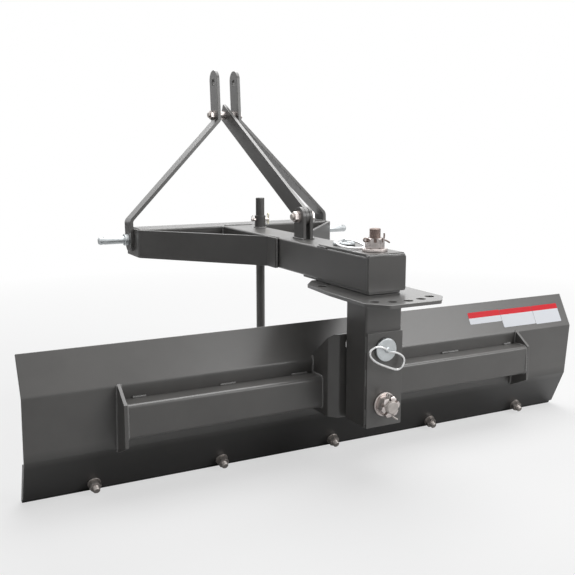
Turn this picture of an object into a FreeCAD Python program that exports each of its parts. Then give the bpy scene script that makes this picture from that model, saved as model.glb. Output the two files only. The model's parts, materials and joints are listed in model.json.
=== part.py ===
import FreeCAD
import Part
import math
import os

# A rear snow blade for a three-point hitch. Millimetres, +X right, +Y towards the
# hitch, +Z up, ground at z = 0. The pieces are drawn round the kingpin axis at
# x = 0, y = 0, and put() moves them so that the origin is under the middle.

# Moldboard: the back face runs up through four points, each given by how far it
# stands in front of the upper crease and by its height.
blade_len = 1524.0
blade_back_y = 132.0
moldboard_t = 6.0
moldboard_bottom_z = 10.0
edge_line_forward = 58.0
lower_crease_forward = 11.0
lower_crease_z = 107.0
upper_crease_z = 250.0
top_forward = 46.0
blade_h = 334.0
blade_bend_r = 14.0
cutting_edge_t = 12.0
cutting_edge_w = 100.0

# Stiffener channels and gussets on the blade's back
stiff_h = 76.0
stiff_top_z = 219.0
stiff_rear_y = 85.0
stiff_t = 5.0
stiff_bend_r = 8.0
stiff_end_x = 556.0
gusset_t = 8.0
gusset_rear_clear = 2.0
gusset_top_z = 254.0
gusset_shoulder_z = 220.0
gusset_heel_z = 125.0
gusset_toe_z = 97.0

# Centre bracket: a channel with its web against the post
bracket_half_w = 82.0
bracket_t = 8.0
bracket_top_z = 327.0
bracket_bottom_z = 127.0
bracket_corner_x = 18.0
bracket_corner_y = 20.0
bracket_bend_r = 9.0
bracket_slope_y = 138.0
bracket_slope_z = 262.0

# Post and turntable
post_w = 96.0
post_front_y = 41.0
post_rear_y = -43.0
post_wall = 8.0
post_corner_r = 5.0
post_bottom_z = 127.0
post_web_gap = 5.0
doubler_w = 94.0
doubler_t = 6.0
doubler_top_z = 346.0
turntable_t = 8.0
turntable_hole_r = 132.0
turntable_hole_d = 21.0
turntable_step_deg = 16.5
turntable_holes_each_side = 2
turntable_corner_r = 9.0
turntable_half_w = 101.0
turntable_side_front = 30.0
turntable_taper_half_w = 90.0
turntable_taper_y = 150.0
turntable_front_half_w = 52.0
turntable_front = 198.0
turntable_shoulder = 120.0
turntable_rear_half_w = 67.0
turntable_rear = 160.0

# Tilt pivot bolt and its lock pin
tilt_z = 179.0
tilt_bolt_d = 30.0
tilt_nut_af = 44.0
tilt_nut_h = 24.0
tilt_washer_d = 56.0
tilt_washer_t = 5.0
tilt_bolt_tail = 8.0
tilt_step_deg = 15.0
lock_r = 127.5
tilt_lock_d = 25.0
lock_head_d = 54.0
lock_head_t = 9.0
lock_tip_gap = 2.0
pin_play = 0.5

# Boom
boom_w = 100.0
boom_h = 80.0
boom_wall = 6.0
boom_corner_r = 5.0
boom_top_z = 518.0
boom_rear_y = -52.0
boom_cap_t = 6.0
pad_w = 96.0
pad_t = 5.0
pad_rear_y = -46.0
pad_front_y = 172.0
wear_w = 84.0
wear_t = 6.0
wear_rear_y = -42.0
wear_front_y = 258.0
wear_gap = 0.5

# Kingpin
kingpin_d = 25.4
kingpin_head_d = 56.0
kingpin_head_t = 10.0
kingpin_play = 0.4
kingpin_washer_d = 58.0
kingpin_washer_t = 6.0
kingpin_nut_af = 38.0
kingpin_nut_h = 24.0
kingpin_tail = 21.0
nut_slot_w = 6.0
nut_slot_part = 0.3
swing_lock_d = 20.0
swing_tip_gap = 0.5

# Cross beam, side plates and mast
beam_depth = 100.0
beam_behind_pin = 58.0
plate_t = 9.5
plate_boom_y = 382.0
plate_boom_bend_y = 432.0
plate_beam_bend_clear = 9.0
plate_bend_r = 14.0
strap_t = 9.5
strap_w = 57.0
strap_in_x = 319.0
strap_top_in_x = 28.75
strap_bend_low_rise = 53.0
strap_bend_high_rise = 346.0
strap_bend_r = 12.0
strap_below_pin = 36.0
mast_lean_deg = 4.0
hitch_y = 810.0
hitch_below_top = 33.0
hitch_pin_d = 22.2
hitch_collar_d = 34.0
hitch_shoulder_x = 341.5
hitch_tip_x = 417.0
hitch_tip_chamfer = 4.0
hitch_nut_af = 34.0
hitch_nut_h = 18.0
toplink_rise = 463.0
toplink_hole_d = 19.8
toplink_above = 36.0

# Brace, its lugs and the two bolts
mast_bolt_rise = 365.0
bolt_d = 16.0
bolt_af = 24.0
bolt_head_h = 10.0
bolt_nut_h = 13.0
brace_t = 9.5
brace_w = 48.0
brace_end = 26.0
lug_t = 9.5
lug_w = 50.0
lug_h = 83.0
lug_y = 335.0
lug_gap = 11.0
spacer_d = 25.0

# Parking stand
stand_x = 28.0
stand_y = 655.0
stand_d = 25.4
stand_wall = 3.2
stand_len = 606.0
sleeve_d = 32.0
sleeve_play = 0.3
sleeve_above = 36.0

# Values worked out from the sizes above
boom_bottom_z = boom_top_z - boom_h
wear_bottom_z = boom_bottom_z - wear_t
turntable_top_z = wear_bottom_z - wear_gap
turntable_bottom_z = turntable_top_z - turntable_t
pad_top_z = boom_top_z + pad_t
bracket_web_y = post_front_y + post_web_gap
post_back_y = post_rear_y - doubler_t
lock_z = tilt_z + lock_r
beam_half = strap_in_x - plate_t
beam_rear_y = hitch_y - beam_behind_pin
beam_front_y = beam_rear_y + beam_depth
hitch_z = boom_top_z - hitch_below_top
hitch_out_x = strap_in_x + strap_t
lean = math.radians(mast_lean_deg)
mast_bolt_y = hitch_y + mast_bolt_rise * math.sin(lean)
mast_bolt_z = hitch_z + mast_bolt_rise * math.cos(lean)
lug_bolt_z = boom_top_z + lug_h - lug_w / 2
strap_round_rise = toplink_rise + toplink_above - strap_w / 2
mast_front_y = hitch_y + strap_round_rise * math.sin(lean) + strap_w / 2
origin_y = (mast_front_y - turntable_rear) / 2


def v(x, y, z):
    return FreeCAD.Vector(x, y, z)


def put(name, *solids):
    """Moves the solids into the part's frame and writes them as one node."""
    shape = solids[0] if len(solids) == 1 else Part.makeCompound(list(solids))
    shape = shape.copy()
    shape.translate(v(0, -origin_y, 0))
    shape.exportStep("parts/" + name + ".step")
    print(name, "volume cm3", round(shape.Volume / 1000, 1))


def box(x0, x1, y0, y1, z0, z1):
    return Part.makeBox(x1 - x0, y1 - y0, z1 - z0, v(x0, y0, z0))


def rod(base, direction, d, length):
    return Part.makeCylinder(d / 2, length, v(*base), v(*direction))


def ring(base, direction, d, bore, length):
    return rod(base, direction, d, length).cut(rod(base, direction, bore, length))


def at_plane(plane, low):
    """Returns what turns a point of the plane into space, and the direction out of it."""
    if plane == "xy":
        return lambda a, b: v(a, b, low), v(0, 0, 1)
    if plane == "yz":
        return lambda a, b: v(low, a, b), v(1, 0, 0)
    return lambda a, b: v(a, low, b), v(0, 1, 0)


def prism(points, plane, low, high):
    """A polygon drawn in the plane and pushed out from low to high."""
    place, out = at_plane(plane, low)
    corners = [place(a, b) for a, b in points]
    wire = Part.makePolygon(corners + corners[:1])
    return Part.Face(wire).extrude(out * (high - low))


def mirrored(shape):
    return shape.mirror(v(0, 0, 0), v(1, 0, 0))


def hexagon(base, direction, af, height):
    """A six-sided nut or bolt head."""
    r = af / math.sqrt(3)
    points = [(r * math.cos(math.radians(60 * i)), r * math.sin(math.radians(60 * i))) for i in range(6)]
    body = prism(points, "xy", 0, height)
    body.Placement = FreeCAD.Placement(v(*base), FreeCAD.Rotation(v(0, 0, 1), v(*direction)))
    return body


def bent_strip(path, side_a, side_b, bend_r, plane, low, high):
    """A plate bent along the path: its two faces lie side_a and side_b to the left of it."""
    place, out = at_plane(plane, low)

    def face_edges(side, points):
        edges = []
        start = None
        for i, (a, b) in enumerate(points):
            if i == 0 or i == len(points) - 1:
                j = 1 if i == 0 else i
                da, db = unit(points[j - 1], points[j])
                end = (a - db * side, b + da * side)
                if start is not None:
                    edges.append(Part.makeLine(place(*start), place(*end)))
                start = end
                continue
            d1 = unit(points[i - 1], points[i])
            d2 = unit(points[i], points[i + 1])
            cross = d1[0] * d2[1] - d1[1] * d2[0]
            turn = math.asin(cross)
            sign = 1 if turn > 0 else -1
            reach = bend_r * math.tan(abs(turn) / 2)
            first = (a - d1[0] * reach, b - d1[1] * reach)
            last = (a + d2[0] * reach, b + d2[1] * reach)
            centre = (first[0] - d1[1] * bend_r * sign, first[1] + d1[0] * bend_r * sign)
            far = unit(centre, (a, b))
            r = bend_r - side * sign
            p1 = (first[0] - d1[1] * side, first[1] + d1[0] * side)
            pm = (centre[0] + far[0] * r, centre[1] + far[1] * r)
            p2 = (last[0] - d2[1] * side, last[1] + d2[0] * side)
            edges.append(Part.makeLine(place(*start), place(*p1)))
            edges.append(Part.Arc(place(*p1), place(*pm), place(*p2)).toShape())
            start = p2
        return edges

    edges_a = face_edges(side_a, path)
    edges_b = face_edges(side_b, path)
    ends = [(edges_a[0].firstVertex().Point, edges_b[0].firstVertex().Point),
            (edges_a[-1].lastVertex().Point, edges_b[-1].lastVertex().Point)]
    caps = [Part.makeLine(p, q) for p, q in ends]
    wire = Part.Wire(Part.__sortEdges__(edges_a + edges_b + caps))
    return Part.Face(wire).extrude(out * (high - low))


def unit(p, q):
    length = math.hypot(q[0] - p[0], q[1] - p[1])
    return (q[0] - p[0]) / length, (q[1] - p[1]) / length


def box_tube(x0, x1, y0, y1, z0, z1, wall, corner_r, along):
    """A rectangular tube with round outer corners, open at both ends of the axis along."""
    outer = box(x0, x1, y0, y1, z0, z1)
    grow = {"x": (0, wall, wall), "y": (wall, 0, wall), "z": (wall, wall, 0)}[along]
    inner = box(x0 + grow[0], x1 - grow[0], y0 + grow[1], y1 - grow[1], z0 + grow[2], z1 - grow[2])
    return round_along(outer, along, corner_r).cut(inner)


def round_along(solid, along, r):
    """Rounds the edges that run along the axis."""
    axis = {"x": v(1, 0, 0), "y": v(0, 1, 0), "z": v(0, 0, 1)}[along]
    edges = [e for e in solid.Edges if abs(e.tangentAt(e.FirstParameter).dot(axis)) > 0.99]
    return solid.makeFillet(r, edges)


# Blade body

blade_back = [
    (blade_back_y + edge_line_forward, 0.0),
    (blade_back_y + lower_crease_forward, lower_crease_z),
    (blade_back_y, upper_crease_z),
    (blade_back_y + top_forward, blade_h),
]


def point_on_lower_band(z):
    """The back face of the lower band at the height z."""
    (y0, z0), (y1, z1) = blade_back[:2]
    return y0 + (y1 - y0) * (z - z0) / (z1 - z0), z


def in_front_of_blade():
    """Everything in front of the moldboard's back face, to cut what is welded to it."""
    far = blade_back_y + 4 * blade_h
    points = blade_back + [(far, blade_h), (far, 0.0)]
    return prism(points, "yz", -blade_len, blade_len)


def moldboard():
    path = [point_on_lower_band(moldboard_bottom_z)] + blade_back[1:]
    half = blade_len / 2
    return bent_strip(path, -moldboard_t, 0, blade_bend_r, "yz", -half, half)


def cutting_edge():
    """A flat bar on the front of the lower band, ground level along its lower edge."""
    half = blade_len / 2
    down = unit(blade_back[1], blade_back[0])
    forward = (-down[1], down[0])
    foot = (blade_back[0][0] + forward[0] * moldboard_t, blade_back[0][1] + forward[1] * moldboard_t)
    low = (foot[0] + down[0] * cutting_edge_t, foot[1] + down[1] * cutting_edge_t)
    high = (foot[0] - down[0] * cutting_edge_w, foot[1] - down[1] * cutting_edge_w)
    bar = prism([
        low,
        high,
        (high[0] + forward[0] * cutting_edge_t, high[1] + forward[1] * cutting_edge_t),
        (low[0] + forward[0] * cutting_edge_t, low[1] + forward[1] * cutting_edge_t),
    ], "yz", -half, half)
    far = blade_back_y + 2 * blade_h
    return bar.cut(box(-blade_len, blade_len, 0, far, -blade_h, 0))


def stiffener():
    """The right channel, open towards the moldboard, from the bracket to the gusset."""
    far = blade_back_y + 2 * moldboard_t + top_forward
    low_z = stiff_top_z - stiff_h
    path = [(far, stiff_top_z), (stiff_rear_y, stiff_top_z), (stiff_rear_y, low_z), (far, low_z)]
    channel = bent_strip(path, 0, stiff_t, stiff_bend_r, "yz", bracket_half_w, stiff_end_x)
    return channel.cut(in_front_of_blade())


def gusset():
    rear = stiff_rear_y - gusset_rear_clear
    far = blade_back_y + top_forward
    points = [
        (rear, gusset_shoulder_z),
        (blade_back_y, gusset_top_z),
        (far, gusset_top_z),
        (far, gusset_toe_z),
        (blade_back_y + lower_crease_forward, gusset_toe_z),
        (rear, gusset_heel_z),
    ]
    plate = prism(points, "yz", stiff_end_x, stiff_end_x + gusset_t)
    return plate.cut(in_front_of_blade())


def centre_bracket():
    """The channel whose web stands against the post and whose flanges meet the blade."""
    inner_x = bracket_half_w - bracket_t
    far = blade_back_y + top_forward
    bend_y = bracket_web_y + bracket_corner_y
    bend_x = bracket_half_w - bracket_corner_x
    half = [(bend_x, bracket_web_y), (bracket_half_w, bend_y), (bracket_half_w, far)]
    path = [(-x, y) for x, y in reversed(half)] + half
    web = bent_strip(path, 0, bracket_t, bracket_bend_r, "xy", bracket_bottom_z, bracket_top_z)
    slope_top = (bracket_web_y + bracket_t, bracket_top_z)
    run = far - slope_top[0]
    fall = (slope_top[1] - bracket_slope_z) / (bracket_slope_y - slope_top[0]) * run
    wedge = prism([slope_top, (far, slope_top[1] - fall), (far, bracket_top_z + 1),
                   (slope_top[0], bracket_top_z + 1)], "yz", -inner_x - bracket_t, inner_x + bracket_t)
    web = web.cut(wedge).cut(in_front_of_blade())
    bore = rod((0, 0, tilt_z), (0, 1, 0), tilt_bolt_d + 2 * pin_play, far)
    web = web.cut(bore)
    for turn in (-tilt_step_deg, 0, tilt_step_deg):
        a = math.radians(turn)
        base = (lock_r * math.sin(a), 0, tilt_z + lock_r * math.cos(a))
        web = web.cut(rod(base, (0, 1, 0), tilt_lock_d + 2 * pin_play, far))
    return web


# Swing body

def turntable():
    """The plate under the boom, with a fan of lock holes at both ends."""
    # half width, y
    outline = [
        (turntable_rear_half_w, -turntable_rear),
        (turntable_half_w, -turntable_shoulder),
        (turntable_half_w, turntable_side_front),
        (turntable_taper_half_w, turntable_taper_y),
        (turntable_front_half_w, turntable_front),
    ]
    points = [(-x, y) for x, y in outline] + [(x, y) for x, y in reversed(outline)]
    plate = prism(points, "xy", turntable_bottom_z, turntable_top_z)
    plate = round_along(plate, "z", turntable_corner_r)
    plate = plate.cut(rod((0, 0, 0), (0, 0, 1), kingpin_d + 2 * pin_play, boom_top_z))
    n = turntable_holes_each_side
    for end in (0, 180):
        for i in range(-n, n + 1):
            a = math.radians(end + i * turntable_step_deg)
            base = (turntable_hole_r * math.sin(a), turntable_hole_r * math.cos(a), 0)
            plate = plate.cut(rod(base, (0, 0, 1), turntable_hole_d, boom_top_z))
    return plate


def post():
    tube = box_tube(-post_w / 2, post_w / 2, post_rear_y, post_front_y,
                    post_bottom_z, turntable_bottom_z, post_wall, post_corner_r, "z")
    for z, d in ((tilt_z, tilt_bolt_d), (lock_z, tilt_lock_d)):
        tube = tube.cut(rod((0, post_rear_y - 1, z), (0, 1, 0), d + 2 * pin_play, post_w * 2))
    return tube


def post_doubler():
    plate = box(-doubler_w / 2, doubler_w / 2, post_back_y, post_rear_y, post_bottom_z, doubler_top_z)
    for z, d in ((tilt_z, tilt_bolt_d), (lock_z, tilt_lock_d)):
        plate = plate.cut(rod((0, post_back_y - 1, z), (0, 1, 0), d + 2 * pin_play, post_w))
    return plate


def kingpin():
    top = pad_top_z + kingpin_play + kingpin_washer_t + kingpin_nut_h + kingpin_tail
    head_z = turntable_bottom_z - kingpin_head_t
    shaft = rod((0, 0, head_z), (0, 0, 1), kingpin_d, top - head_z)
    head = rod((0, 0, head_z), (0, 0, 1), kingpin_head_d, kingpin_head_t)
    pin = shaft.fuse(head).removeSplitter()
    edges = [e for e in pin.Edges if abs(e.CenterOfMass.z - top) < 0.01]
    return pin.makeChamfer(1.5, edges)


def slotted_nut(base, direction, af, height, bore, slot):
    """A six-sided nut bored for its bolt, with three slots across its outer end for a split pin."""
    nut = hexagon((0, 0, 0), (0, 0, 1), af, height)
    nut = nut.cut(rod((0, 0, 0), (0, 0, 1), bore, height))
    for i in range(3):
        cut = box(-af, af, -slot / 2, slot / 2, (1 - nut_slot_part) * height, height)
        cut.rotate(v(0, 0, 0), v(0, 0, 1), 60 * i + 30)
        nut = nut.cut(cut)
    nut.Placement = FreeCAD.Placement(v(*base), FreeCAD.Rotation(v(0, 0, 1), v(*direction)))
    return nut


def tilt_bolt():
    """The pivot: head in front of the bracket's web, shank through the post."""
    head_y = bracket_web_y + bracket_t + pin_play
    tail_y = post_back_y - tilt_washer_t - tilt_nut_h - tilt_bolt_tail
    shank = rod((0, tail_y, tilt_z), (0, 1, 0), tilt_bolt_d, head_y - tail_y)
    return shank.fuse(hexagon((0, head_y, tilt_z), (0, 1, 0), tilt_nut_af, tilt_nut_h * 0.7))


def lock_pin(base, direction, d, length):
    """A lock pin with a round head; base is the seat and the shank runs along direction."""
    pin = rod((0, 0, -lock_head_t), (0, 0, 1), lock_head_d, lock_head_t)
    pin = pin.fuse(rod((0, 0, 0), (0, 0, 1), d, length))
    pin.Placement = FreeCAD.Placement(v(*base), FreeCAD.Rotation(v(0, 0, 1), v(*direction)))
    return pin


# Hitch frame

def boom():
    tube = box_tube(-boom_w / 2, boom_w / 2, boom_rear_y + boom_cap_t, beam_rear_y,
                    boom_bottom_z, boom_top_z, boom_wall, boom_corner_r, "y")
    cuts = (
        (0, 0, kingpin_d + 2 * kingpin_play),
        (0, turntable_hole_r, swing_lock_d + 2 * pin_play),
        (stand_x, stand_y, sleeve_d),
    )
    for x, y, d in cuts:
        tube = tube.cut(rod((x, y, boom_bottom_z - 1), (0, 0, 1), d, boom_h + 2))
    return tube


def boom_cap():
    cap = box(-boom_w / 2, boom_w / 2, boom_rear_y, boom_rear_y + boom_cap_t, boom_bottom_z, boom_top_z)
    return round_along(cap, "y", boom_corner_r)


def flat_on_boom(width, rear, front, low, high):
    """A flat plate along the boom, bored for the kingpin and the swing lock pin."""
    plate = box(-width / 2, width / 2, rear, front, low, high)
    plate = plate.cut(rod((0, 0, low - 1), (0, 0, 1), kingpin_d + 2 * kingpin_play, high - low + 2))
    lock = rod((0, turntable_hole_r, low - 1), (0, 0, 1), swing_lock_d + 2 * pin_play, high - low + 2)
    return plate.cut(lock)


def cross_beam():
    return box_tube(-beam_half, beam_half, beam_rear_y, beam_front_y,
                    boom_bottom_z, boom_top_z, boom_wall, boom_corner_r, "x")


def side_plate():
    """The right side plate: flat on the boom, out to the beam, then flat on the beam's end."""
    inner_boom = boom_w / 2
    inner_beam = beam_half
    path = [
        (inner_boom, plate_boom_y),
        (inner_boom, plate_boom_bend_y),
        (inner_beam, beam_rear_y - plate_beam_bend_clear),
        (inner_beam, beam_front_y),
    ]
    plate = bent_strip(path, -plate_t, 0, plate_bend_r, "xy", boom_bottom_z, boom_top_z)
    hole = rod((beam_half - 1, hitch_y, hitch_z), (1, 0, 0), hitch_pin_d + 2 * pin_play, plate_t + 2)
    return plate.cut(hole)


def mast_strap():
    """The right strap of the mast, bent twice and leaned forward about the hitch pin."""
    low_z = hitch_z - strap_below_pin
    top_z = hitch_z + toplink_rise + toplink_above
    path = [
        (strap_in_x, low_z),
        (strap_in_x, hitch_z + strap_bend_low_rise),
        (strap_top_in_x, hitch_z + strap_bend_high_rise),
        (strap_top_in_x, top_z),
    ]
    y0 = hitch_y - strap_w / 2
    y1 = hitch_y + strap_w / 2
    strap = bent_strip(path, -strap_t, 0, strap_bend_r, "xz", y0, y1)
    strap = strap.cut(end_round(low_z, -1)).cut(end_round(top_z, 1))
    holes = (
        (hitch_z, hitch_pin_d + 2 * pin_play),
        (hitch_z + toplink_rise, toplink_hole_d),
        (hitch_z + mast_bolt_rise, bolt_d + 2 * pin_play),
    )
    for z, d in holes:
        strap = strap.cut(rod((0, hitch_y, z), (1, 0, 0), d, hitch_tip_x))
    strap.rotate(v(0, hitch_y, hitch_z), v(1, 0, 0), -mast_lean_deg)
    return strap


def end_round(end_z, side):
    """What is outside the half round at a strap's end."""
    r = strap_w / 2
    centre_z = end_z - side * r
    z0, z1 = sorted((centre_z, end_z + side))
    block = box(0, hitch_tip_x, hitch_y - r - 1, hitch_y + r + 1, z0, z1)
    return block.cut(rod((0, hitch_y, centre_z), (1, 0, 0), strap_w, hitch_tip_x))


def hitch_pin():
    """The right lower pin: nut inside the beam, shank through plate and strap, collar, pin."""
    inner_x = beam_half - hitch_nut_h
    shank = rod((beam_half, hitch_y, hitch_z), (1, 0, 0), hitch_pin_d, hitch_tip_x - beam_half)
    edges = [e for e in shank.Edges if abs(e.CenterOfMass.x - hitch_tip_x) < 0.01]
    shank = shank.makeChamfer(hitch_tip_chamfer, edges)
    collar = rod((hitch_out_x, hitch_y, hitch_z), (1, 0, 0), hitch_collar_d, hitch_shoulder_x - hitch_out_x)
    nut = hexagon((inner_x, hitch_y, hitch_z), (1, 0, 0), hitch_nut_af, hitch_nut_h)
    return shank.fuse(collar).fuse(nut)


def brace():
    """The flat bar from the mast bolt down to the lugs."""
    dy = mast_bolt_y - lug_y
    dz = mast_bolt_z - lug_bolt_z
    length = math.hypot(dy, dz)
    half = brace_w / 2
    bar = box(-brace_t / 2, brace_t / 2, 0, length + brace_end, -half, half)
    bar = bar.fuse(rod((-brace_t / 2, 0, 0), (1, 0, 0), brace_w, brace_t)).removeSplitter()
    for y in (0, length):
        bar = bar.cut(rod((-brace_t, y, 0), (1, 0, 0), bolt_d + 2 * pin_play, 2 * brace_t))
    bar.rotate(v(0, 0, 0), v(1, 0, 0), math.degrees(math.atan2(dz, dy)))
    bar.translate(v(0, lug_y, lug_bolt_z))
    return bar


def lug():
    """The right lug: a flat on the boom with a half-round top."""
    x0 = lug_gap / 2
    plate = box(x0, x0 + lug_t, lug_y - lug_w / 2, lug_y + lug_w / 2, boom_top_z, lug_bolt_z)
    plate = plate.fuse(rod((x0, lug_y, lug_bolt_z), (1, 0, 0), lug_w, lug_t)).removeSplitter()
    return plate.cut(rod((x0 - 1, lug_y, lug_bolt_z), (1, 0, 0), bolt_d + 2 * pin_play, lug_t + 2))


def cross_bolt(y, z, grip):
    """A bolt along X with its head and nut outside a grip of the given half width."""
    head = hexagon((-grip, y, z), (-1, 0, 0), bolt_af, bolt_head_h)
    nut = hexagon((grip, y, z), (1, 0, 0), bolt_af, bolt_nut_h)
    return rod((-grip, y, z), (1, 0, 0), bolt_d, 2 * grip).fuse(head).fuse(nut)


def mast_spacer():
    """The right tube that keeps the brace in the middle of the mast."""
    x0 = brace_t / 2
    bore = bolt_d + 2 * pin_play
    return ring((x0, mast_bolt_y, mast_bolt_z), (1, 0, 0), spacer_d, bore, strap_top_in_x - x0)


def stand_sleeve():
    base = (stand_x, stand_y, boom_bottom_z)
    return ring(base, (0, 0, 1), sleeve_d, stand_d + 2 * sleeve_play, boom_h + sleeve_above)


def stand_tube():
    """The parking stand: a tube closed at its top, standing on the ground."""
    tube = rod((stand_x, stand_y, 0), (0, 0, 1), stand_d, stand_len)
    bore = rod((stand_x, stand_y, 0), (0, 0, 1), stand_d - 2 * stand_wall, stand_len - stand_wall)
    return tube.cut(bore)


os.makedirs("parts", exist_ok=True)

put("moldboard", moldboard())
put("cutting_edge", cutting_edge())
put("centre_bracket", centre_bracket())

put("turntable", turntable())
put("post", post())
put("post_doubler", post_doubler())
kingpin_washer_z = pad_top_z + kingpin_play
put("kingpin", kingpin(),
    ring((0, 0, kingpin_washer_z), (0, 0, 1), kingpin_washer_d, kingpin_d, kingpin_washer_t),
    slotted_nut((0, 0, kingpin_washer_z + kingpin_washer_t), (0, 0, 1),
                kingpin_nut_af, kingpin_nut_h, kingpin_d, nut_slot_w))
put("tilt_bolt", tilt_bolt(),
    ring((0, post_back_y, tilt_z), (0, -1, 0), tilt_washer_d, tilt_bolt_d, tilt_washer_t),
    slotted_nut((0, post_back_y - tilt_washer_t, tilt_z), (0, -1, 0),
                tilt_nut_af, tilt_nut_h, tilt_bolt_d, nut_slot_w))
put("tilt_lock_pin", lock_pin((0, post_back_y, lock_z), (0, 1, 0), tilt_lock_d,
                              bracket_web_y - lock_tip_gap - post_back_y))

put("boom", boom())
put("boom_end_cap", boom_cap())
put("boom_top_plate", flat_on_boom(pad_w, pad_rear_y, pad_front_y, boom_top_z, pad_top_z))
put("boom_wear_plate", flat_on_boom(wear_w, wear_rear_y, wear_front_y, wear_bottom_z, boom_bottom_z))
put("swing_lock_pin", lock_pin((0, turntable_hole_r, pad_top_z), (0, 0, -1), swing_lock_d,
                               pad_top_z - wear_bottom_z - swing_tip_gap))
put("cross_beam", cross_beam())
put("brace", brace())
put("brace_bolt", cross_bolt(lug_y, lug_bolt_z, lug_gap / 2 + lug_t))
put("mast_bolt", cross_bolt(mast_bolt_y, mast_bolt_z, strap_top_in_x + strap_t),
    mast_spacer(), mirrored(mast_spacer()))
put("stand_sleeve", stand_sleeve())
put("stand_tube", stand_tube())

# name, shape of the right-hand piece
pairs = (
    ("stiffener", stiffener()),
    ("gusset", gusset()),
    ("side_plate", side_plate()),
    ("mast_strap", mast_strap()),
    ("hitch_pin", hitch_pin()),
    ("lug", lug()),
)
for name, right in pairs:
    put(name + "_right", right)
    put(name + "_left", mirrored(right))
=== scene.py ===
# %% [markdown]
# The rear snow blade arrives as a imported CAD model: plates, tubes and pins that
# already have their real sizes. This script dresses it. The CAD pieces stay where
# they are and get paint, and the small things that a welder and a fitter add are
# made here: weld beads, bolts, split pins and the wire loops of the lock pins.

# %% Load the frame
import json
import math

import bmesh
import bpy
from mathutils import Matrix, Vector


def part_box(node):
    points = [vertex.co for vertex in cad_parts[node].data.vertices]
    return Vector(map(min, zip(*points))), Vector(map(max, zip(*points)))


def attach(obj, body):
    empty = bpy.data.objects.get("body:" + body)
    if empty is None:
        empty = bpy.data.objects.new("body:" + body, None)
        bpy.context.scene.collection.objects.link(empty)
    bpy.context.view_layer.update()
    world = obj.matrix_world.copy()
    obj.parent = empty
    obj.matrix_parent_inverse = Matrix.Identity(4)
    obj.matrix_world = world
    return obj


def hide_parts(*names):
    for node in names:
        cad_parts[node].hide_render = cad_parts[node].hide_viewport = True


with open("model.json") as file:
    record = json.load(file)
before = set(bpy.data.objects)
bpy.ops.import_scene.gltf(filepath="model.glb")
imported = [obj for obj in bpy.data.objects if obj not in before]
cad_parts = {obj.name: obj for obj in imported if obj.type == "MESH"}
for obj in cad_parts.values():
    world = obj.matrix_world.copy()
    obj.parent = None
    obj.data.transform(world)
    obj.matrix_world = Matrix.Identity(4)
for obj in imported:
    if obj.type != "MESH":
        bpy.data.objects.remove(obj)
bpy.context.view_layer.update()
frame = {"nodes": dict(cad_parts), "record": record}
nodes = frame["nodes"]

# %% [markdown]
# Measures below are in millimetres round the kingpin, because that is how the blade
# is drawn. The kingpin's own box says where it stands in the frame. Whatever sits on
# a CAD piece reads its place from that piece's box, so it follows when a size changes.


# %% From drawing millimetres to the frame
kingpin_y = (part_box("kingpin")[0][1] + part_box("kingpin")[1][1]) / 2


def at(x, y, z):
    """A point given in millimetres round the kingpin, as metres in the frame."""
    return Vector((x / 1000, y / 1000 + kingpin_y, z / 1000))


def box_of(name):
    """The low and the high corner of a CAD piece, in millimetres round the kingpin."""
    shift = Vector((0, kingpin_y, 0))
    return [(Vector(corner) - shift) * 1000 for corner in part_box(name)]


def middle_of(name):
    low, high = box_of(name)
    return (low + high) / 2


print("the kingpin stands at y =", round(kingpin_y, 4))

# %% [markdown]
# The camera is where the photograph was taken from: low behind the blade's left
# end, looking over it at the boom and the mast. The lens is set for a square image.

# %% Camera
AZIMUTH, ELEVATION = -27.5, 9.8
camera = bpy.data.objects.new("camera", bpy.data.cameras.new("camera"))
camera.data.lens = 51.28
camera.data.sensor_width = 36.0
camera.location = at(-1020.4, -1534.6, 756.2)
camera.rotation_euler = (math.radians(90 - ELEVATION), 0, math.radians(AZIMUTH))
bpy.context.scene.collection.objects.link(camera)
bpy.context.scene.camera = camera
bpy.context.scene.view_settings.view_transform = "Standard"
print("camera", [round(c, 3) for c in camera.location])

# %% [markdown]
# A product studio is a white floor under large soft lamps. For the camera the floor
# mixes a plain white glow into its matt white, more of it far off, so the horizon is
# lost and the shadow near the blade stays.


# %% Node helpers for materials
def new_material(name):
    material = bpy.data.materials.new(name)
    material.use_nodes = True
    material.node_tree.nodes.clear()
    return material, material.node_tree


def node(tree, kind, **inputs):
    """Adds a node and sets its inputs by name."""
    made = tree.nodes.new(kind)
    for key, value in inputs.items():
        made.inputs[key.replace("_", " ")].default_value = value
    return made


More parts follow.
